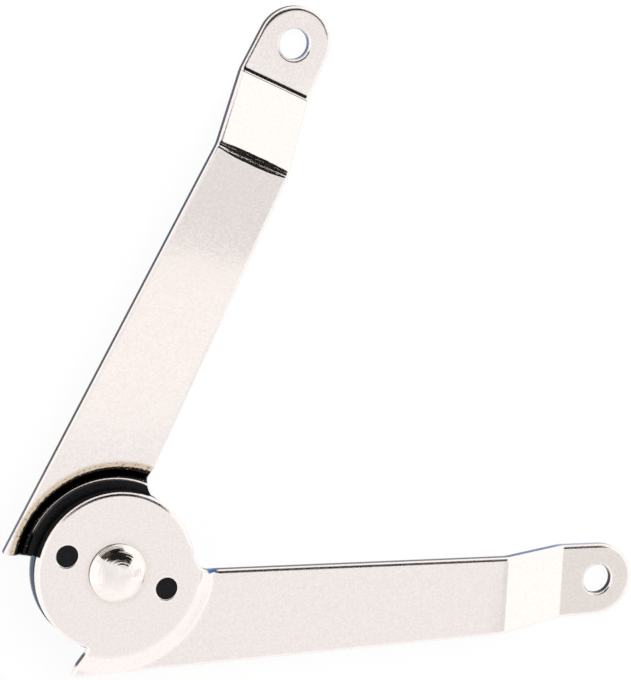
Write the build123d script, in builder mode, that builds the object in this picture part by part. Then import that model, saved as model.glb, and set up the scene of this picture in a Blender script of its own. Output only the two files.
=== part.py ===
"""Friction lid stay: two stamped steel arms turning on a domed rivet.

Frame: millimetres, +Z out of the surface that the stay is screwed to, which is Z = 0.
The pivot's axis is the Z axis and the front arm runs along +X.
"""

import os
from math import asin, cos, hypot, radians, sin, tan

from build123d import *

# Sheet and levels
sheet = 1.25                    # thickness of both stamped arms
eye_drop = 5.9                  # from a strap's level down to its eye's level
front_set = 2.0                 # the front round end lies above the straps by this
rear_set = 1.5                  # the rear round end lies below them by this

# Outline of an arm, the same for both but mirrored
round_end_radius = 12.5
eye_reach = 84.0                # from the pivot to the eye, along the arm
eye_radius = 5.8
screw_hole_diameter = 4.7
inner_offset = 0.8              # from the line through the pivot to the strap's inner edge
tail_reach = 17.75              # from the pivot to the tail's corner
front_tail_angle = 109.0        # from an arm's direction to its tail's end cut
rear_tail_angle = 104.0
throat_radius = 4.0             # inside corner between the round end and the strap
tail_corner_radius = 0.4
edge_break = 0.3                # rolled off the front edges of the outline and the holes
upright_lean = 0.1              # most that the normal of an upright face leans up or down

# Set-overs: a curved one beside each round end, a straight one before each eye
front_step_gap = 0.19           # flat left between the round end's edge and the first bend
front_step_angle = 35.0
front_inner_bend = 2.0          # bend radii at the middle of the sheet
front_outer_bend = 2.0
rear_step_gap = 1.59
rear_step_angle = 50.0
rear_inner_bend = 1.5
rear_outer_bend = 2.4
eye_step_clear = 6.7            # from the eye's centre back to the foot of its slope
eye_step_run = 11.9
eye_step_bend = 2.0

# Rim drawn down from the front round end over its free side
rim_drop = 0.85                 # below the back of the sheet
rim_end_inset = 2.0             # angle that stays clear at the tail and at the throat

# Pivot
opening = 66.6                  # angle between the two arms as they lie at rest
shank_diameter = 5.0
running_clearance = 0.05        # between the shank and what turns on it
fixed_clearance = 0.02          # between the front arm and the shank and pegs that it holds
head_diameter = 9.0
head_height = 2.2
head_rim = 0.35                 # straight side below the dome
tail_head_diameter = 8.0
tail_head_round = 1.4

# Friction disc, lining and washers
friction_inset = 0.4            # from the rim of the round ends in to the rim of the black disc
lining_thickness = 0.5          # black sheet in the rear arm's recess
lining_bend_gap = 0.44          # from its round edge out to the rear arm's first bend
lining_inset = 0.3              # from the rear arm's outline
peg_diameter = 3.46
peg_circle_radius = 8.5
peg_angle = -19.5
peg_recess = 0.15               # from the front face down to a peg's end
backing_thickness = 1.0
backing_diameter = 16.0
spring_thickness = 0.7
spring_height = 1.25
spring_diameter = 13.0

# Levels and radii that follow from the sizes above
strap_bottom = eye_drop
rear_bottom = strap_bottom - rear_set
lining_bottom = rear_bottom + sheet
friction_bottom = lining_bottom + lining_thickness
front_bottom = strap_bottom + front_set
front_top = front_bottom + sheet
rim_bottom = front_bottom - rim_drop
rim_inner_radius = round_end_radius - sheet
lining_radius = round_end_radius + rear_step_gap - lining_bend_gap
backing_bottom = rear_bottom - backing_thickness
spring_bottom = backing_bottom - spring_height
eye_step_end = eye_reach - eye_step_clear
eye_step_start = eye_step_end - eye_step_run
eye_offset = inner_offset + eye_radius
shank_radius = shank_diameter / 2
turning_bore_radius = shank_radius + running_clearance
held_bore_radius = shank_radius + fixed_clearance
peg_spots = PolarLocations(peg_circle_radius, 2, start_angle=peg_angle)
throat_reach = round_end_radius + throat_radius
throat_angle = asin((throat_radius - inner_offset) / throat_reach)
rim_first = throat_angle + radians(rim_end_inset)
rim_last = -radians(front_tail_angle + rim_end_inset)


def arm_plane(turn):
    """The ground plane with its X axis along an arm that is turned about the pivot."""
    along = (cos(radians(turn)), sin(radians(turn)), 0)
    return Plane(origin=(0, 0, 0), x_dir=along, z_dir=(0, 0, 1))


def section_plane(turn):
    """The upright plane through the pivot that holds the arm's direction."""
    along = (cos(radians(turn)), sin(radians(turn)), 0)
    across = (sin(radians(turn)), -cos(radians(turn)), 0)
    return Plane(origin=(0, 0, 0), x_dir=along, z_dir=across)


def bent_sheet(middle_line, bends):
    """A section of constant thickness about the line through the middle of the sheet."""
    with BuildSketch() as section:
        for side in (Side.LEFT, Side.RIGHT):
            with BuildLine():
                FilletPolyline(*middle_line, radius=bends)
                offset(amount=sheet / 2, side=side)
            make_face()
    return section.sketch


def arm_blank(side, tail_angle, bore_radius):
    """An arm's outline from above, its strap on the +1 or -1 side of the pivot."""
    tail = (tail_reach * cos(radians(tail_angle)), side * tail_reach * sin(radians(tail_angle)))
    throat = (round_end_radius, side * inner_offset)
    with BuildSketch() as blank:
        with BuildLine():
            Polyline(
                (0, 0),
                tail,
                (eye_reach, side * (inner_offset + 2 * eye_radius)),
                (eye_reach, side * inner_offset),
                (0, side * inner_offset),
                close=True,
            )
        make_face()
        Circle(round_end_radius)
        with Locations((eye_reach, side * eye_offset)):
            Circle(eye_radius)
        fillet(blank.vertices().sort_by_distance(tail)[0], radius=tail_corner_radius)
        fillet(blank.vertices().sort_by_distance(throat)[0], radius=throat_radius)
        Circle(bore_radius, mode=Mode.SUBTRACT)
        with Locations((eye_reach, side * eye_offset)):
            Circle(screw_hole_diameter / 2, mode=Mode.SUBTRACT)
    return blank.sketch


def front_rims(arm):
    """The edges where the front of the sheet meets its cut walls and its holes."""
    fronts = arm.faces().filter_by(lambda face: face.normal_at().Z > upright_lean)
    walls = arm.faces().filter_by(lambda face: abs(face.normal_at().Z) < upright_lean)
    front_edges = fronts.edges()
    return walls.edges().filter_by(lambda edge: edge in front_edges)


def stamped_arm(side, turn, tail_angle, round_bottom, step_gap, step_angle, step_bends, bore_radius):
    """An arm: a turned form about the pivot and a straight one along the strap, cut to one outline."""
    middle = sheet / 2
    round_level = round_bottom + middle
    strap_level = strap_bottom + middle
    step_start = round_end_radius + step_gap + step_bends[0] * tan(radians(step_angle) / 2)
    step_end = step_start + abs(round_level - strap_level) / tan(radians(step_angle))
    strap_start = step_end + step_bends[-1]
    round_reach = hypot(strap_start, tail_reach)
    round_line = [
        (0, round_level),
        (step_start, round_level),
        (step_end, strap_level),
        (round_reach, strap_level),
    ]
    strap_line = [
        (strap_start, strap_level),
        (eye_step_start, strap_level),
        (eye_step_end, middle),
        (eye_reach + 2 * eye_radius, middle),
    ]
    with BuildPart() as arm:
        with BuildSketch(section_plane(turn)):
            add(bent_sheet(round_line, step_bends))
        revolve(axis=Axis.Z)
        with BuildSketch(section_plane(turn)):
            add(bent_sheet(strap_line, [eye_step_bend, eye_step_bend]))
        extrude(amount=round_reach, both=True)
        with BuildSketch(arm_plane(turn)):
            add(arm_blank(side, tail_angle, bore_radius))
        extrude(amount=front_top + sheet, mode=Mode.INTERSECT)
        chamfer(front_rims(arm), length=edge_break)
    return arm.part


front_stamping = stamped_arm(
    side=-1,
    turn=0,
    tail_angle=front_tail_angle,
    round_bottom=front_bottom,
    step_gap=front_step_gap,
    step_angle=front_step_angle,
    step_bends=[front_inner_bend, front_outer_bend],
    bore_radius=held_bore_radius,
)
rear_stamping = stamped_arm(
    side=1,
    turn=opening,
    tail_angle=rear_tail_angle,
    round_bottom=rear_bottom,
    step_gap=rear_step_gap,
    step_angle=rear_step_angle,
    step_bends=[rear_inner_bend, rear_outer_bend],
    bore_radius=turning_bore_radius,
)

# Front arm: round end raised above the strap, with a rim, the rivet's hole and two peg holes
with BuildPart() as front_arm:
    add(front_stamping)
    with BuildSketch(Plane.XY.offset(rim_bottom)):
        Circle(round_end_radius)
        Circle(rim_inner_radius, mode=Mode.SUBTRACT)
        with BuildLine():
            Polyline(
                (0, 0),
                (eye_reach * cos(rim_first), eye_reach * sin(rim_first)),
                (eye_reach, -eye_reach),
                (eye_reach * cos(rim_last), eye_reach * sin(rim_last)),
                close=True,
            )
        make_face(mode=Mode.SUBTRACT)
    extrude(amount=rim_drop)
    with BuildSketch(Plane.XY):
        with peg_spots:
            Circle(peg_diameter / 2 + fixed_clearance)
    extrude(amount=front_top, mode=Mode.SUBTRACT)

# Rear arm: round end set below the strap
with BuildPart() as rear_arm:
    add(rear_stamping)

# Rivet: domed head in front, set tail resting at the mounting surface
with BuildPart() as pivot_rivet:
    with BuildSketch(Plane.XZ):
        with BuildLine():
            dome = TangentArc(
                (0, front_top + head_height),
                (head_diameter / 2, front_top + head_rim),
                tangent=(1, 0),
            )
            Polyline(
                dome @ 1,
                (head_diameter / 2, front_top),
                (shank_radius, front_top),
                (shank_radius, spring_bottom),
                (tail_head_diameter / 2, spring_bottom),
                (tail_head_diameter / 2, tail_head_round),
            )
            TangentArc(
                (tail_head_diameter / 2, tail_head_round),
                (tail_head_diameter / 2 - tail_head_round, 0),
                tangent=(0, -1),
            )
            Polyline((tail_head_diameter / 2 - tail_head_round, 0), (0, 0), dome @ 0)
        make_face()
    revolve(axis=Axis.Z)

# Friction disc: fills the front arm's rim and turns with it, held by two pegs in its holes
with BuildPart() as friction_disc:
    with BuildSketch(Plane.XY.offset(friction_bottom)):
        Circle(round_end_radius - friction_inset)
        Circle(turning_bore_radius, mode=Mode.SUBTRACT)
    extrude(amount=rim_bottom - running_clearance - friction_bottom)
    with BuildSketch(Plane.XY.offset(friction_bottom)):
        Circle(rim_inner_radius - running_clearance)
        Circle(turning_bore_radius, mode=Mode.SUBTRACT)
    extrude(amount=front_bottom - friction_bottom)
    with BuildSketch(Plane.XY.offset(front_bottom)):
        with peg_spots:
            Circle(peg_diameter / 2)
    extrude(amount=sheet - peg_recess)

# Lining: black sheet that lies in the rear arm's recess and takes its outline
with BuildPart() as friction_lining:
    with BuildSketch(arm_plane(opening).offset(lining_bottom)):
        add(arm_blank(1, rear_tail_angle, turning_bore_radius))
        offset(amount=-lining_inset)
        Circle(lining_radius, mode=Mode.INTERSECT)
    extrude(amount=lining_thickness)

# Flat washer behind the rear round end
with BuildPart() as backing_washer:
    with BuildSketch(Plane.XY.offset(backing_bottom)):
        Circle(backing_diameter / 2)
        Circle(turning_bore_radius, mode=Mode.SUBTRACT)
    extrude(amount=backing_thickness)

# Dished washer: its rim presses the flat washer, its hole rests on the rivet's tail
with BuildPart() as spring_washer:
    with BuildSketch(Plane.XZ):
        with BuildLine():
            Polyline(
                (turning_bore_radius, spring_bottom),
                (spring_diameter / 2, backing_bottom - spring_thickness),
                (spring_diameter / 2, backing_bottom),
                (turning_bore_radius, spring_bottom + spring_thickness),
                close=True,
            )
        make_face()
    revolve(axis=Axis.Z)

os.makedirs("parts", exist_ok=True)
front_arm.part.label = "front_arm"
export_step(front_arm.part, "parts/front_arm.step")
rear_arm.part.label = "rear_arm"
export_step(rear_arm.part, "parts/rear_arm.step")
pivot_rivet.part.label = "pivot_rivet"
export_step(pivot_rivet.part, "parts/pivot_rivet.step")
friction_disc.part.label = "friction_disc"
export_step(friction_disc.part, "parts/friction_disc.step")
friction_lining.part.label = "friction_lining"
export_step(friction_lining.part, "parts/friction_lining.step")
backing_washer.part.label = "backing_washer"
export_step(backing_washer.part, "parts/backing_washer.step")
spring_washer.part.label = "spring_washer"
export_step(spring_washer.part, "parts/spring_washer.step")
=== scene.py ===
from math import cos, radians, sin

import bmesh
import bpy
from mathutils import Matrix, Vector

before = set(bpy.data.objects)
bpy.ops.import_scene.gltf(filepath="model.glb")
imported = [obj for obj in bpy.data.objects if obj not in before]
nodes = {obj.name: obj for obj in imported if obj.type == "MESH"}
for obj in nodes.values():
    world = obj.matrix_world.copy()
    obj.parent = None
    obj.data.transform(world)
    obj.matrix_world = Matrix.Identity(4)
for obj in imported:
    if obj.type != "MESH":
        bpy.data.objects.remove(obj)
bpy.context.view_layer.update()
scene = bpy.context.scene
print("frame loaded:", ", ".join(sorted(nodes)))


# looks down on the stay's front, a little from the upper left
cameraSettings = {
    "place": (-0.17446, 0.14661, 0.54594),
    "turn": (-12.0967, -20.0932, 3.0811),
    "lens": 203.01,
    "shift": (0.0178, 0.0056),
}

cameraData = bpy.data.cameras.new("camera")
cameraData.lens = cameraSettings["lens"]
cameraData.shift_x = cameraSettings["shift"][0]
cameraData.shift_y = cameraSettings["shift"][1]
camera = bpy.data.objects.new("camera", cameraData)
camera.location = cameraSettings["place"]
camera.rotation_euler = [radians(angle) for angle in cameraSettings["turn"]]
scene.collection.objects.link(camera)
scene.camera = camera
print("camera placed")


# One output socket of a material or world. The usual operators add Math nodes,
# and node() adds any other node: its settings first, then its sockets.
class Wire:
    def __init__(self, tree, socket=None):
        self.tree = tree
        self.socket = socket

    def node(self, kind, settings=None, sockets=None, output=0):
        made = self.tree.nodes.new(kind)
        for name, value in (settings or {}).items():
            if name == "stops":
                self.setStops(made.color_ramp, value)
            else:
                setattr(made, name, value)
        for name, value in (sockets or {}).items():
            if isinstance(value, Wire):
                self.tree.links.new(value.socket, made.inputs[name])
            else:
                made.inputs[name].default_value = value
        return Wire(self.tree, made.outputs[output] if made.outputs else None)

    def setStops(self, ramp, stops):
        while len(ramp.elements) < len(stops):
            ramp.elements.new(1.0)
        for element, (place, colour) in zip(ramp.elements, stops):
            element.position = place
            element.color = (*colour, 1.0) if isinstance(colour, tuple) else (colour, colour, colour, 1.0)

    def maths(self, operation, first, second=0.0):
        return self.node("ShaderNodeMath", {"operation": operation}, {0: first, 1: second})

    def __add__(self, other):
        return self.maths("ADD", self, other)

    def __radd__(self, other):
        return self.maths("ADD", other, self)

    def __sub__(self, other):
        return self.maths("SUBTRACT", self, other)

    def __rsub__(self, other):
        return self.maths("SUBTRACT", other, self)

    def __mul__(self, other):
        return self.maths("MULTIPLY", self, other)

    def __rmul__(self, other):
        return self.maths("MULTIPLY", other, self)


def newMaterial(name):
    material = bpy.data.materials.new(name)
    material.use_nodes = True
    material.node_tree.nodes.clear()
    return material, Wire(material.node_tree)


def colour(red, green, blue):
    return (red, green, blue, 1.0)


# a step from 0 to 1 between two values of a wire
def step(wire, low, high):
    return wire.node(
        "ShaderNodeMapRange",
        {"interpolation_type": "SMOOTHSTEP"},
        {"Value": wire, "From Min": low, "From Max": high},
    )


# a step from 0 to 1 that fades in around one value of a wire
def above(wire, value, fade):
    return step(wire, value - fade, value + fade)


def noise(wire, places, size, detail):
    return wire.node(
        "ShaderNodeTexNoise",
        None,
        {"Vector": places, "Scale": 1.0 / size, "Detail": detail},
    )


def mixColours(wire, factor, first, second):
    return wire.node("ShaderNodeMix", {"data_type": "RGBA"}, {0: factor, 6: first, 7: second}, output=2)


# x, y or z of a wire that carries a vector
def component(wire, vector, axis):
    return wire.node("ShaderNodeSeparateXYZ", None, {0: vector}, output="xyz".index(axis))


def bumped(wire, height, normal=None):
    sockets = {"Strength": 1.0, "Distance": 1.0, "Height": height}
    if normal:
        sockets["Normal"] = normal
    return wire.node("ShaderNodeBump", None, sockets)


def addSurface(wire, sockets):
    shader = wire.node("ShaderNodeBsdfPrincipled", None, sockets)
    wire.node("ShaderNodeOutputMaterial", None, {"Surface": shader})


# both arms: bright plate over stamped sheet, rolled at the front of the cut, with painted shade and
# reflections on the cut behind the roll
armPlate = {
    "bright": colour(0.905, 0.845, 0.82),
    "dull": colour(0.835, 0.775, 0.75),
    "speckSize": 0.00035,
    "mottled": (0.3, 0.7),  # noise values where the plate goes from dull to bright
    "scuffed": (0.4, 0.7),  # and from polished to rougher
    "roughness": 0.08,
    "roughnessSpread": 0.05,
    "rippleSize": 0.0009,
    "rippleHeight": 0.000006,
    "swellSize": 0.005,
    "swellHeight": 0.000012,
    "edgeRound": 0.0006,
    "holeRound": 0.0004,
    "holeReach": 0.0036,
    "holeFade": 0.0002,
    "upright": (0.15, 0.35),  # how far a face may look up and still be a cut edge
    "flat": (0.5, 0.7),  # and from where on it is the top of the sheet
    "rolled": (0.35, 0.6),  # where the bright rolled edge begins on the cut
    "cutRoughness": 0.35,
    "cutReach": 0.09,
    "cutFromFade": 0.0003,
    "cutBottomFade": 0.0004,
}
# what tells one arm from the other: its direction, its screw hole with the painted shade in its wall, where
# the painted shade on its cut edge starts from the pivot and from below, and the edge's painted shade and
# reflection colours on the way to the eye
frontArm = {
    "turn": 0.0,
    "hole": (0.084, -0.0066),
    "holeShade": colour(0.012, 0.015, 0.04),
    "cutFrom": 0.0134,
    "cutBottom": -0.0152,
    "cutShadeStops": (
        (0.0, (0.055, 0.06, 0.085)),
        (0.7, (0.10, 0.095, 0.12)),
        (0.76, (0.06, 0.14, 0.32)),
        (0.84, (0.07, 0.16, 0.38)),
        (0.87, (0.38, 0.38, 0.50)),
        (1.0, (0.45, 0.45, 0.50)),
    ),
}
rearArm = {
    "turn": 66.6,
    "hole": (0.084, 0.0066),
    "holeShade": colour(0.08, 0.12, 0.28),
    "cutFrom": 0.0,
    "cutBottom": -1.0,  # all of its cut edges get painted shade
    "cutShadeStops": (
        (0.0, (0.084, 0.11, 0.15)),
        (0.15, (0.03, 0.03, 0.033)),
        (0.45, (0.028, 0.034, 0.055)),
        (0.6, (0.008, 0.035, 0.075)),
        (0.72, (0.006, 0.03, 0.065)),
        (0.8, (0.05, 0.05, 0.10)),
        (1.0, (0.02, 0.02, 0.025)),
    ),
}

# painted shade on the rear arm's round edge, up to its front corner
collar = {
    "tint": colour(0.084, 0.11, 0.15),
    "inner": (0.0119, 0.0121),
    "outer": (0.01252, 0.0126),
    "facing": (-0.3, -0.1),
}

# a painted dark reflection line across the rear arm, at the foot of its eye's slope
bendReflectionLine = {"place": 0.0770, "width": 0.00007, "tint": colour(0.08, 0.08, 0.08)}

# a blotchy brown ring on an arm, between two radii about the pivot and above one level: painted shade
# around the rivet head, a brown band on the rear arm's bend
rivetShadeRing = {"inner": 0.0040, "outer": 0.0058, "fade": 0.0018, "level": 0.0088, "strength": 0.3}
bendBrownBand = {"inner": 0.0157, "outer": 0.0171, "fade": 0.0006, "level": 0.0060, "strength": 0.9}
brownRing = {
    "tint": colour(0.62, 0.50, 0.36),
    "streak": colour(0.20, 0.13, 0.06),
    "size": 0.0005,
    "wobble": 0.0008,
    "streaky": (0.52, 0.68),
    "innerFade": 0.0003,
    "levelFade": 0.0001,
}

# painted dark reflection and shade: black, with orange flecks, painted into the rear arm's set-over
setOverShade = {
    "tint": colour(0.012, 0.011, 0.013),
    "inner": 0.01392,
    "outer": 0.0160,
    "wobble": 0.0006,
    "fleck": colour(0.35, 0.20, 0.08),
    "fleckSize": 0.0003,
    "flecked": (0.66, 0.71),
    "facing": (0.2, 0.3),
    "leftSide": -0.0124,
    "leftSideFade": 0.0003,
    "leftInner": 0.0117,
    "radiusFade": 0.0001,
    "innerFade": 0.00005,
}

# the rear arm's strap falls softly into its eye's slope, with streaks along the bend
bend = {
    "start": 0.0644,
    "middle": 0.0655,
    "end": 0.0662,
    "drop": 0.00025,
    "rise": 0.00008,
    "centre": 0.0071,  # of the strap's width
    "halfWidth": 0.0064,
    "narrow": 1.0,  # how much narrower the bend gets at both edges
    "streakSize": 0.00018,
    "streakStretch": 0.15,
    "streakHeight": 0.000015,
    "fadeIn": 0.0003,
    "fadeOut": 0.0006,
}

# the front arm's upper edges roll over just inside the cut
roll = {
    "stripEdge": -0.0008,
    "discEdge": 0.0125,
    "start": 0.00028,
    "end": 0.00072,
    "height": 0.00008,
    "stripFrom": 0.0165,
    "stripFade": 0.001,
    "discAbove": 0.001,
    "discFade": 0.003,
}

# a painted blue glint at the foot of the front arm's throat
glint = {
    "place": (0.0155, -0.0008, 0.0068),
    "tint": colour(0.02, 0.11, 0.28),
    "core": 0.00102,
    "reach": 0.0017,
    "above": (-0.0012, -0.001),
}


def pivotRadius(wire, places):
    flat = wire.node("ShaderNodeVectorMath", {"operation": "MULTIPLY"}, {0: places, 1: (1.0, 1.0, 0.0)})
    return wire.node("ShaderNodeVectorMath", {"operation": "LENGTH"}, {0: flat}, output=1)


def setOverShadeMask(wire, places, radius, specks, settings):
    rough = radius + (specks - 0.5) * settings["wobble"]
    within = 1.0 - above(rough, settings["outer"], settings["radiusFade"])
    band = above(radius, settings["inner"], settings["innerFade"])
    left = 1.0 - above(component(wire, places, "x"), settings["leftSide"], settings["leftSideFade"])
    smear = left * above(radius, settings["leftInner"], settings["radiusFade"])
    return within * wire.maths("MAXIMUM", band, smear)


# how far each place lies along an arm and across it
def armPlaces(wire, places, turn):
    along = (cos(radians(turn)), sin(radians(turn)), 0.0)
    across = (-sin(radians(turn)), cos(radians(turn)), 0.0)
    dot = {"operation": "DOT_PRODUCT"}
    first = wire.node("ShaderNodeVectorMath", dot, {0: places, 1: along}, output=1)
    second = wire.node("ShaderNodeVectorMath", dot, {0: places, 1: across}, output=1)
    return first, second


# the height of the rear arm's bend, which narrows towards both edges of the strap
def softBend(wire, along, across, settings):
    aside = wire.maths("ABSOLUTE", across - settings["centre"]) * (1.0 / settings["halfWidth"])
    narrow = aside * aside * aside * aside * settings["narrow"] + 1.0
    along = (along - settings["middle"]) * narrow + settings["middle"]
    drop = step(along, settings["start"], settings["middle"]) * settings["drop"]
    rise = step(along, settings["middle"], settings["end"]) * settings["rise"]
    stretched = across * settings["streakStretch"]
    lengthwise = wire.node("ShaderNodeCombineXYZ", None, {0: along, 1: stretched})
    streaks = noise(wire, lengthwise, settings["streakSize"], 3.0) * settings["streakHeight"]
    near = step(along, settings["start"], settings["start"] + settings["fadeIn"])
    near = near * (1.0 - step(along, settings["end"], settings["end"] + settings["fadeOut"]))
    return (streaks * near + rise - drop) * wire.maths("DIVIDE", 1.0, narrow)


# 1 on an arm outside its screw hole's rim
def holeMask(wire, along, across, settings, arm):
    spot = wire.node("ShaderNodeCombineXYZ", None, {0: along, 1: across})
    ends = {0: spot, 1: (*arm["hole"], 0.0)}
    away = wire.node("ShaderNodeVectorMath", {"operation": "DISTANCE"}, ends, output=1)
    return step(away, settings["holeReach"] - settings["holeFade"], settings["holeReach"])


# every edge is rolled over, the screw hole's less than the others
def roundedEdges(wire, outside, settings):
    small = wire.node("ShaderNodeBevel", {"samples": 16}, {"Radius": settings["holeRound"]})
    large = wire.node("ShaderNodeBevel", {"samples": 16}, {"Radius": settings["edgeRound"]})
    return wire.node("ShaderNodeMix", {"data_type": "VECTOR"}, {0: outside, 4: small, 5: large}, output=1)


# the height of the front arm's rolled edges, along its strap and its round end
def rolledStrip(along, across, settings):
    inside = settings["stripEdge"] - across
    rolled = step(inside, settings["start"], settings["end"]) * settings["height"]
    return rolled * above(along, settings["stripFrom"], settings["stripFade"])


def rolledDisc(radius, across, settings):
    inside = settings["discEdge"] - radius
    rolled = step(inside, settings["start"], settings["end"]) * settings["height"]
    return rolled * step(across, settings["discAbove"], settings["discAbove"] + settings["discFade"])


# 1 on the upright cut edges, as far as they get painted shade
def cutMask(wire, radius, across, upward, rounded, settings, arm):
    upright = 1.0 - step(wire.maths("ABSOLUTE", upward), *settings["upright"])
    cut = upright * (1.0 - step(component(wire, rounded, "z"), *settings["rolled"]))
    cut = cut * above(radius, arm["cutFrom"], settings["cutFromFade"])
    return cut * above(across, arm["cutBottom"], settings["cutBottomFade"])


# paints the brown ring: painted shade around the rivet head, a brown band on the rear arm's bend
def addBrownRing(wire, tint, places, radius, ringPlace):
    blots = noise(wire, places, brownRing["size"], 4.0)
    rough = radius + (blots - 0.5) * brownRing["wobble"]
    ring = step(radius, ringPlace["inner"] - brownRing["innerFade"], ringPlace["inner"])
    ring = ring * (1.0 - step(rough, ringPlace["outer"] - ringPlace["fade"], ringPlace["outer"]))
    level = component(wire, places, "z")
    ring = ring * step(level, ringPlace["level"], ringPlace["level"] + brownRing["levelFade"])
    brownTint = mixColours(wire, step(blots, *brownRing["streaky"]), brownRing["tint"], brownRing["streak"])
    return mixColours(wire, ring * ringPlace["strength"], tint, brownTint)


# the painted dark reflection line, the painted dark reflection and shade in the set-over with its flecks,
# and the painted shade on the round edge
def addRearMarks(wire, tint, places, radius, along, upward, flat, specks):
    # the painted dark reflection line at the foot of the eye's slope
    aside = wire.maths("ABSOLUTE", along - bendReflectionLine["place"])
    line = 1.0 - step(aside, 0.5 * bendReflectionLine["width"], bendReflectionLine["width"])
    tint = mixColours(wire, line * flat, tint, bendReflectionLine["tint"])
    # painted dark reflection and shade in the set-over, with its flecks
    black = setOverShadeMask(wire, places, radius, specks, setOverShade) * step(upward, *setOverShade["facing"])
    flecks = step(noise(wire, places, setOverShade["fleckSize"], 1.0), *setOverShade["flecked"])
    tint = mixColours(wire, black, tint, mixColours(wire, flecks, setOverShade["tint"], setOverShade["fleck"]))
    # painted shade on the rear arm's round edge
    ring = step(upward, *collar["facing"]) * (1.0 - step(radius, *collar["outer"]))
    return mixColours(wire, ring * step(radius, *collar["inner"]), tint, collar["tint"])


# paints the blue glint into the plate colour
def addFrontMarks(wire, tint, places, across):
    ends = {0: places, 1: glint["place"]}
    away = wire.node("ShaderNodeVectorMath", {"operation": "DISTANCE"}, ends, output=1)
    blue = (1.0 - step(away, glint["core"], glint["reach"])) * step(across, *glint["above"])
    return mixColours(wire, blue, tint, glint["tint"])


def makeArmPlate(name, settings, arm, ringPlace):
    material, wire = newMaterial(name)
    places = wire.node("ShaderNodeTexCoord", output=3)
    facing = wire.node("ShaderNodeTexCoord", output=1)
    radius = pivotRadius(wire, places)
    upward = component(wire, facing, "z")
    along, across = armPlaces(wire, places, arm["turn"])
    outside = holeMask(wire, along, across, settings, arm)
    rounded = roundedEdges(wire, outside, settings)
    flat = step(upward, *settings["flat"])
    cut = cutMask(wire, radius, across, upward, rounded, settings, arm)
    specks = noise(wire, places, settings["speckSize"], 3.0)
    ripple = noise(wire, places, settings["rippleSize"], 2.0)
    swell = noise(wire, places, settings["swellSize"], 1.0)
    plate = mixColours(wire, step(specks, *settings["mottled"]), settings["dull"], settings["bright"])
    # the brown ring: painted shade around the rivet head, a brown band on the rear arm's bend
    tint = addBrownRing(wire, plate, places, radius, ringPlace)
    # painted shade and reflection colours on the cut edges, changing on the way to the eye, and painted
    # shade in the screw hole's wall
    onTheWay = along * (1.0 / settings["cutReach"])
    paintedCutShade = wire.node("ShaderNodeValToRGB", {"stops": arm["cutShadeStops"]}, {0: onTheWay})
    tint = mixColours(wire, cut, tint, mixColours(wire, outside, arm["holeShade"], paintedCutShade))
    height = ripple * settings["rippleHeight"] + swell * settings["swellHeight"]
    if arm is rearArm:
        tint = addRearMarks(wire, tint, places, radius, along, upward, flat, specks)
        height = height + softBend(wire, along, across, bend) * flat
    else:
        tint = addFrontMarks(wire, tint, places, across)
        rolls = rolledStrip(along, across, roll) + rolledDisc(radius, across, roll)
        height = height + rolls * flat
    polish = settings["roughness"] + settings["roughnessSpread"] * step(specks, *settings["scuffed"])
    gloss = polish + cut * (settings["cutRoughness"] - settings["roughness"])
    normal = bumped(wire, height, rounded)
    addSurface(wire, {"Base Color": tint, "Metallic": 1.0, "Roughness": gloss, "Normal": normal})
    return material


# the rivet: turned and set, smoother than the sheet
rivetPlate = {
    "bright": colour(0.89, 0.835, 0.81),
    "dull": colour(0.83, 0.775, 0.75),
    "cloudSize": 0.002,
    "mottled": (0.35, 0.65),
    "scuffed": (0.4, 0.7),
    "roughness": 0.06,
    "roughnessSpread": 0.05,
    "rippleSize": 0.0006,
    "rippleHeight": 0.000003,
    "lineSize": 0.0003,
    "lineHeight": 0.00005,
    # painted shade at the foot of the rivet head and below it
    "creviceShadeColour": colour(0.06, 0.055, 0.05),
    "creviceShadeLevel": 0.00915,
    "creviceShadeHeight": 0.0004,
}


def makeRivetPlate(settings):
    material, wire = newMaterial("nickelPlatedRivet")
    places = wire.node("ShaderNodeTexCoord", output=3)
    level = component(wire, places, "z")
    # painted shade in the crevice at the foot of the head and below it
    creviceShade = 1.0 - step(level, settings["creviceShadeLevel"], settings["creviceShadeLevel"] + settings["creviceShadeHeight"])
    clouds = noise(wire, places, settings["cloudSize"], 3.0)
    ripple = noise(wire, places, settings["rippleSize"], 2.0)
    plate = mixColours(wire, step(clouds, *settings["mottled"]), settings["dull"], settings["bright"])
    tint = mixColours(wire, creviceShade, plate, settings["creviceShadeColour"])
    polish = settings["roughness"] + settings["roughnessSpread"] * step(clouds, *settings["scuffed"])
    turned = wire.node("ShaderNodeCombineXYZ", None, {0: pivotRadius(wire, places)})
    lines = noise(wire, turned, settings["lineSize"], 2.0)
    height = ripple * settings["rippleHeight"] + lines * settings["lineHeight"]
    normal = bumped(wire, height)
    addSurface(wire, {"Base Color": tint, "Metallic": 1.0, "Roughness": polish, "Normal": normal})
    return material


plastic = {
    "dark": colour(0.004, 0.004, 0.005),
    "worn": colour(0.008, 0.008, 0.010),
    "grainSize": 0.0004,
    "mottled": (0.4, 0.7),
    "grainHeight": 0.000012,
    "roughness": 0.36,
    "roughnessSpread": 0.12,
    "ior": 1.22,
}


def makePlastic(settings):
    material, wire = newMaterial("blackPlastic")
    places = wire.node("ShaderNodeTexCoord", output=3)
    grain = noise(wire, places, settings["grainSize"], 3.0)
    tint = mixColours(wire, step(grain, *settings["mottled"]), settings["dark"], settings["worn"])
    normal = bumped(wire, grain * settings["grainHeight"])
    polish = settings["roughness"] + settings["roughnessSpread"] * grain
    addSurface(wire, {"Base Color": tint, "Roughness": polish, "IOR": settings["ior"], "Normal": normal})
    return material


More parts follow.
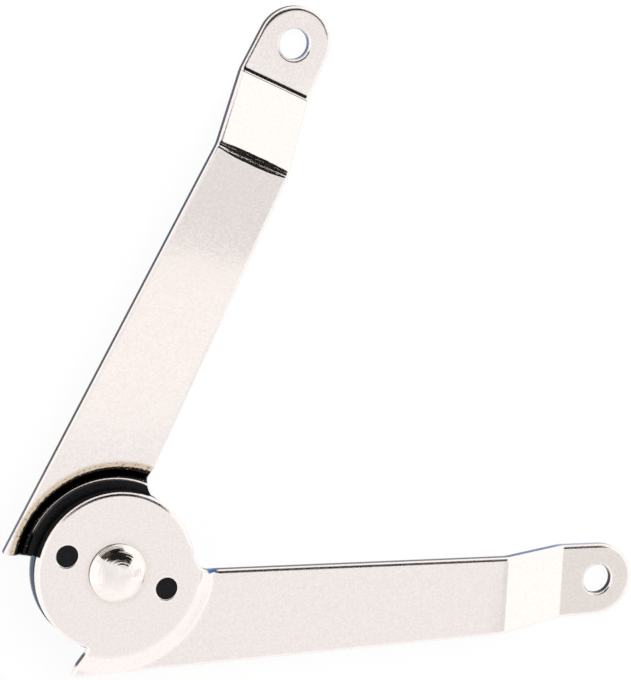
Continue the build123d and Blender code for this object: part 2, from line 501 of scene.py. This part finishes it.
washerSteel = {
    "bright": colour(0.68, 0.68, 0.70),
    "dull": colour(0.50, 0.51, 0.53),
    "cloudSize": 0.002,
    "mottled": (0.35, 0.65),
    "lineSize": 0.00025,
    "lineHeight": 0.000004,
    "roughness": 0.24,
    "roughnessSpread": 0.14,
}


def makeWasherSteel(settings):
    material, wire = newMaterial("zincPlatedWasher")
    places = wire.node("ShaderNodeTexCoord", output=3)
    turned = wire.node("ShaderNodeCombineXYZ", None, {0: pivotRadius(wire, places)})
    lines = noise(wire, turned, settings["lineSize"], 2.0)
    clouds = noise(wire, places, settings["cloudSize"], 3.0)
    tint = mixColours(wire, step(clouds, *settings["mottled"]), settings["dull"], settings["bright"])
    normal = bumped(wire, lines * settings["lineHeight"])
    polish = settings["roughness"] + settings["roughnessSpread"] * clouds
    addSurface(wire, {"Base Color": tint, "Metallic": 1.0, "Roughness": polish, "Normal": normal})
    return material


def coat(material, *names):
    for name in names:
        slots = nodes[name].data.materials
        slots.clear()
        slots.append(material)


coat(makeArmPlate("frontArmPlate", armPlate, frontArm, rivetShadeRing), "front_arm")
coat(makeArmPlate("rearArmPlate", armPlate, rearArm, bendBrownBand), "rear_arm")
coat(makeRivetPlate(rivetPlate), "pivot_rivet")
coat(makePlastic(plastic), "friction_disc", "friction_lining")
coat(makeWasherSteel(washerSteel), "backing_washer", "spring_washer")
print("finishes made")


studio = {
    "floorSize": 6.0,
    "floorDrop": 0.0002,
    "floorColour": colour(0.9, 0.9, 0.9),
    "floorGlow": 0.92,
    "mirroredExtra": 0.15,
    "mirroredRise": (0.35, 0.9),
    "worldColour": colour(1.0, 1.0, 1.0),
    "worldLevel": 0.72,
    "lampPower": 3.4,
    "lampSize": 0.5,
    "lampAzimuth": 60.0,
    "lampHeight": 62.0,
    "lampReach": 0.8,
}

# what the bright plate mirrors: azimuth and height above the floor in degrees, how far
# off it stands, and its corners to the right and up as seen from the pivot
cards = {
    "dark_card": {
        "azimuth": 78.0,
        "height": 47.0,
        "reach": 0.25,
        "tint": colour(1.0, 0.9, 0.85),
        "level": 0.01,
        "corners": (
            (-0.27, 0.0),
            (-0.24, 0.05),
            (-0.16, 0.08),
            (-0.06, 0.093),
            (0.0, 0.093),
            (0.05, 0.095),
            (0.15, 0.1),
            (0.2, 0.08),
            (0.225, 0.03),
            (0.2, -0.04),
            (0.145, -0.045),
            (0.1, -0.05),
            (0.065, -0.08),
            (0.0, -0.087),
            (-0.06, -0.085),
            (-0.12, -0.07),
            (-0.18, -0.045),
            (-0.24, -0.03),
        ),
    },
    "brown_card": {
        "azimuth": 78.0,
        "height": 47.0,
        "reach": 0.248,
        "tint": colour(1.0, 0.75, 0.65),
        "level": 0.1,
        "corners": (
            (-0.26, -0.01),
            (-0.2, 0.05),
            (-0.12, 0.04),
            (-0.08, -0.02),
            (-0.1, -0.08),
            (-0.18, -0.05),
        ),
    },
    "haze_card": {
        "azimuth": 78.0,
        "height": 47.0,
        "reach": 0.154,
        "tint": colour(1.0, 0.99, 0.98),
        "level": 0.88,
        "corners": ((0.02, 0.062), (0.115, 0.062), (0.1, 0.1), (0.02, 0.1)),
    },
    "upper_eye_card": {
        "azimuth": 30.6,
        "height": 59.1,
        "reach": 0.2183,
        "tint": colour(1.0, 1.0, 1.0),
        "level": 0.97,
        "corners": ((-0.009, -0.009), (0.009, -0.009), (0.009, 0.009), (-0.009, 0.009)),
    },
    "lower_eye_card": {
        "azimuth": -11.7,
        "height": 28.6,
        "reach": 0.1182,
        "tint": colour(1.0, 1.0, 0.98),
        "level": 0.88,
        "corners": ((-0.016, -0.016), (0.016, -0.016), (0.016, 0.016), (-0.016, 0.016)),
    },
    "left_card": {
        "azimuth": 185.0,
        "height": 35.0,
        "reach": 0.5,
        "tint": colour(1.0, 1.0, 1.0),
        "level": 1.25,
        "corners": ((-0.35, -0.25), (0.25, -0.25), (0.2, 0.15), (-0.35, 0.15)),
    },
    "pale_card": {
        "azimuth": 5.0,
        "height": 68.0,
        "reach": 0.31,
        "tint": colour(1.0, 0.99, 0.98),
        "level": 1.1,
        "corners": ((-0.06, -0.08), (0.055, -0.08), (0.055, 0.08), (-0.06, 0.08)),
    },
    "bright_card": {
        "azimuth": 15.0,
        "height": 18.0,
        "reach": 0.5,
        "tint": colour(1.0, 1.0, 0.99),
        "level": 1.2,
        "corners": ((-0.42, -0.3), (0.42, -0.3), (0.42, 0.12), (0.2, 0.26), (-0.2, 0.3), (-0.42, 0.22)),
    },
}


def direction(azimuth, height):
    flat = cos(radians(height))
    return Vector((flat * cos(radians(azimuth)), flat * sin(radians(azimuth)), sin(radians(height))))


def addSheet(name, corners, matrix):
    mesh = bpy.data.meshes.new(name)
    shape = bmesh.new()
    shape.faces.new([shape.verts.new((across, up, 0.0)) for across, up in corners])
    bmesh.ops.transform(shape, matrix=matrix, verts=shape.verts)
    shape.to_mesh(mesh)
    shape.free()
    sheet = bpy.data.objects.new(name, mesh)
    scene.collection.objects.link(sheet)
    return sheet


# a place seen from the pivot in that direction, with the given axis turned to the pivot
def facingPivot(azimuth, height, reach, axis):
    place = direction(azimuth, height) * reach
    return Matrix.Translation(place) @ (-place).to_track_quat(axis, "Y").to_matrix().to_4x4()


def makeFloor(settings):
    material, wire = newMaterial("paleFloor")
    seen = wire.node("ShaderNodeLightPath")
    mirrored = wire.node("ShaderNodeLightPath", output=3)
    diffuse = wire.node("ShaderNodeBsdfDiffuse", None, {"Color": settings["floorColour"]})
    strength = 1.0 + mirrored * settings["mirroredExtra"]
    glow = wire.node("ShaderNodeEmission", None, {"Color": colour(1.0, 1.0, 1.0), "Strength": strength})
    mixed = wire.node("ShaderNodeMixShader", None, {0: settings["floorGlow"], 1: diffuse, 2: glow})
    shown = wire.maths("MAXIMUM", seen, mirrored)
    shader = wire.node("ShaderNodeMixShader", None, {0: shown, 1: diffuse, 2: mixed})
    wire.node("ShaderNodeOutputMaterial", None, {"Surface": shader})
    half = settings["floorSize"] / 2
    corners = ((-half, -half), (half, -half), (half, half), (-half, half))
    floor = addSheet("pale_floor", corners, Matrix.Translation((0.0, 0.0, -settings["floorDrop"])))
    floor.data.materials.append(material)


def makeCard(name, settings):
    material, wire = newMaterial(name)
    glow = wire.node("ShaderNodeEmission", None, {"Color": settings["tint"], "Strength": settings["level"]})
    wire.node("ShaderNodeOutputMaterial", None, {"Surface": glow})
    matrix = facingPivot(settings["azimuth"], settings["height"], settings["reach"], "Z")
    card = addSheet(name, settings["corners"], matrix)
    card.data.materials.append(material)
    card.visible_camera = False
    card.visible_diffuse = False
    card.visible_shadow = False
    card.visible_transmission = False


def makeLamp(settings):
    lampData = bpy.data.lights.new("soft_lamp", "AREA")
    lampData.shape = "SQUARE"
    lampData.size = settings["lampSize"]
    lampData.energy = settings["lampPower"]
    lamp = bpy.data.objects.new("soft_lamp", lampData)
    matrix = facingPivot(settings["lampAzimuth"], settings["lampHeight"], settings["lampReach"], "-Z")
    lamp.matrix_world = matrix
    lamp.visible_glossy = False
    scene.collection.objects.link(lamp)


def makeWorld(settings):
    world = bpy.data.worlds.new("soft_studio")
    world.use_nodes = True
    world.node_tree.nodes.clear()
    scene.world = world
    wire = Wire(world.node_tree)
    seen = wire.node("ShaderNodeLightPath")
    mirrored = wire.node("ShaderNodeLightPath", output=3)
    upward = component(wire, wire.node("ShaderNodeTexCoord"), "z")
    nearFloor = 1.0 - step(upward, *settings["mirroredRise"])
    strength = 1.0 + mirrored * nearFloor * settings["mirroredExtra"]
    lit = wire.node("ShaderNodeBackground", None, {0: settings["worldColour"], 1: settings["worldLevel"]})
    white = wire.node("ShaderNodeBackground", None, {0: settings["worldColour"], 1: strength})
    shown = wire.maths("MAXIMUM", seen, mirrored)
    shader = wire.node("ShaderNodeMixShader", None, {0: shown, 1: lit, 2: white})
    wire.node("ShaderNodeOutputWorld", None, {"Surface": shader})


makeFloor(studio)
for cardName, cardSettings in cards.items():
    makeCard(cardName, cardSettings)
makeLamp(studio)
makeWorld(studio)
scene.view_settings.view_transform = "Standard"
print("studio lit")
